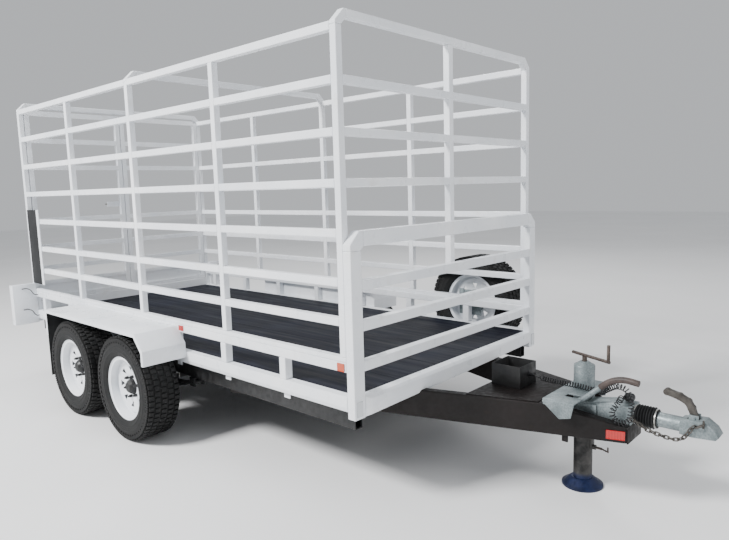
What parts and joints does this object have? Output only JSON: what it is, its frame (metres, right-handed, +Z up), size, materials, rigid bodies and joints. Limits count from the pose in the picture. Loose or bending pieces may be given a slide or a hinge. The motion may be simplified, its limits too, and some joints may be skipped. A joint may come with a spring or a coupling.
{
  "type": "livestock trailer",
  "caption": "Tandem-axle livestock trailer with a slat crate, rear swing gates, spare wheel, A-frame drawbar and winding jack.",
  "frame": {"origin": "on the ground under the middle of the trailer's overall length and width", "axes": "+X forward towards the coupling, +Y to the trailer's left, +Z up"},
  "size_m": [5.334, 2.386, 2.376],
  "materials": {
    "chassis_paint": "satin",
    "white_paint": "gloss",
    "galvanised": "matte",
    "bright_pin": "satin",
    "brown_paint": "satin",
    "dark_floor": "matte",
    "tyre_rubber": "matte",
    "black_rubber": "matte",
    "black_plastic": "matte",
    "lens": "gloss",
    "grip": "matte"
  },
  "bodies": {
    "trailer": {"chassis_frame": "chassis_paint", "side_rails": "white_paint", "floor": "dark_floor", "body_rails": "white_paint", "headboard": "white_paint", "front_beam": "white_paint", "rear_frame": "white_paint", "crate_right": "white_paint", "crate_left": "white_paint", "crate_hoops": "white_paint", "crate_front_grid": "white_paint", "rubber_strip": "black_rubber", "gate_hinges": "bright_pin", "fender_right": "white_paint", "fender_left": "white_paint", "mud_flaps": "black_rubber", "light_housings": "white_paint", "light_lenses": "lens", "light_cables": "black_rubber", "plate_bracket": "chassis_paint", "reflectors": "lens", "drawbar": "brown_paint", "drawbar_plates": "brown_paint", "drawbar_tray": "chassis_paint", "spring_hangers": "chassis_paint", "leaf_springs": "chassis_paint", "rockers": "chassis_paint", "axles": "chassis_paint", "u_bolts": "galvanised", "spare_tyre": "tyre_rubber", "spare_rim": "white_paint", "spare_carrier": "galvanised", "coupling_casing": "galvanised", "jack_bracket": "galvanised", "jack_tube": "galvanised", "curly_cord": "black_plastic", "cord_plug": "black_plastic"},
    "wheel_front_right": {"tyre_front_right": "tyre_rubber", "rim_front_right": "white_paint", "hub_front_right": "chassis_paint"},
    "wheel_front_left": {"tyre_front_left": "tyre_rubber", "rim_front_left": "white_paint", "hub_front_left": "chassis_paint"},
    "wheel_rear_right": {"tyre_rear_right": "tyre_rubber", "rim_rear_right": "white_paint", "hub_rear_right": "chassis_paint"},
    "wheel_rear_left": {"tyre_rear_left": "tyre_rubber", "rim_rear_left": "white_paint", "hub_rear_left": "chassis_paint"},
    "right_gate": {"gate_right": "white_paint"},
    "left_gate": {"gate_left": "white_paint"},
    "bolt": {"gate_bolt": "bright_pin"},
    "draw": {"draw_tube": "galvanised", "bellows": "black_rubber", "safety_chain": "galvanised"},
    "latch": {"latch_handle": "galvanised"},
    "brake_handle": {"brake_lever": "galvanised"},
    "leg": {"jack_leg": "galvanised"},
    "crank": {"jack_crank": "galvanised"},
    "spring_pin": {"jack_pin": "bright_pin"}
  },
  "joints": [
    {"name": "wheel_spin_front_right", "type": "hinge", "parent": "trailer", "child": "wheel_front_right", "pos_m": [-0.47088, -1.0755, 0.34], "axis": [0, 1, 0], "continuous": true},
    {"name": "wheel_spin_front_left", "type": "hinge", "parent": "trailer", "child": "wheel_front_left", "pos_m": [-0.47088, 1.0755, 0.34], "axis": [0, 1, 0], "continuous": true},
    {"name": "wheel_spin_rear_right", "type": "hinge", "parent": "trailer", "child": "wheel_rear_right", "pos_m": [-1.23588, -1.0755, 0.34], "axis": [0, 1, 0], "continuous": true},
    {"name": "wheel_spin_rear_left", "type": "hinge", "parent": "trailer", "child": "wheel_rear_left", "pos_m": [-1.23588, 1.0755, 0.34], "axis": [0, 1, 0], "continuous": true},
    {"name": "right_gate_hinge", "type": "hinge", "parent": "trailer", "child": "right_gate", "pos_m": [-2.637, -0.8575, 1.4], "axis": [0, 0, 1], "range_deg": [0, 175]},
    {"name": "left_gate_hinge", "type": "hinge", "parent": "trailer", "child": "left_gate", "pos_m": [-2.637, 0.8575, 1.4], "axis": [0, 0, -1], "range_deg": [0, 175]},
    {"name": "gate_bolt_slide", "type": "slide", "parent": "right_gate", "child": "bolt", "axis": [0, 1, 0], "range_m": [0, 0.044]},
    {"name": "overrun_slide", "type": "slide", "parent": "trailer", "child": "draw", "axis": [1, 0, 0], "range_m": [-0.05, 0], "deforming": ["bellows", "safety_chain"]},
    {"name": "latch_pivot", "type": "hinge", "parent": "draw", "child": "latch", "pos_m": [2.561, 0, 0.51], "axis": [0, 1, 0], "range_deg": [0, 50]},
    {"name": "brake_lever_pivot", "type": "hinge", "parent": "trailer", "child": "brake_handle", "pos_m": [2.029, -0.098, 0.467], "axis": [0, -1, 0], "range_deg": [0, 45]},
    {"name": "jack_crank_turn", "type": "hinge", "parent": "trailer", "child": "crank", "pos_m": [2.021, 0.072, 0.692], "axis": [0, 0, 1], "range_deg": [0, 9360]},
    {"name": "jack_leg_slide", "type": "slide", "parent": "trailer", "child": "leg", "axis": [0, 0, 1], "range_m": [0, 0.13]},
    {"name": "jack_pin_pull", "type": "slide", "parent": "leg", "child": "spring_pin", "axis": [1, 0, 0], "range_m": [0, 0.008]}
  ],
  "couplings": [
    {"joint": "jack_crank_turn", "follows": "jack_leg_slide", "rad_per_m": 1256.6}
  ]
}
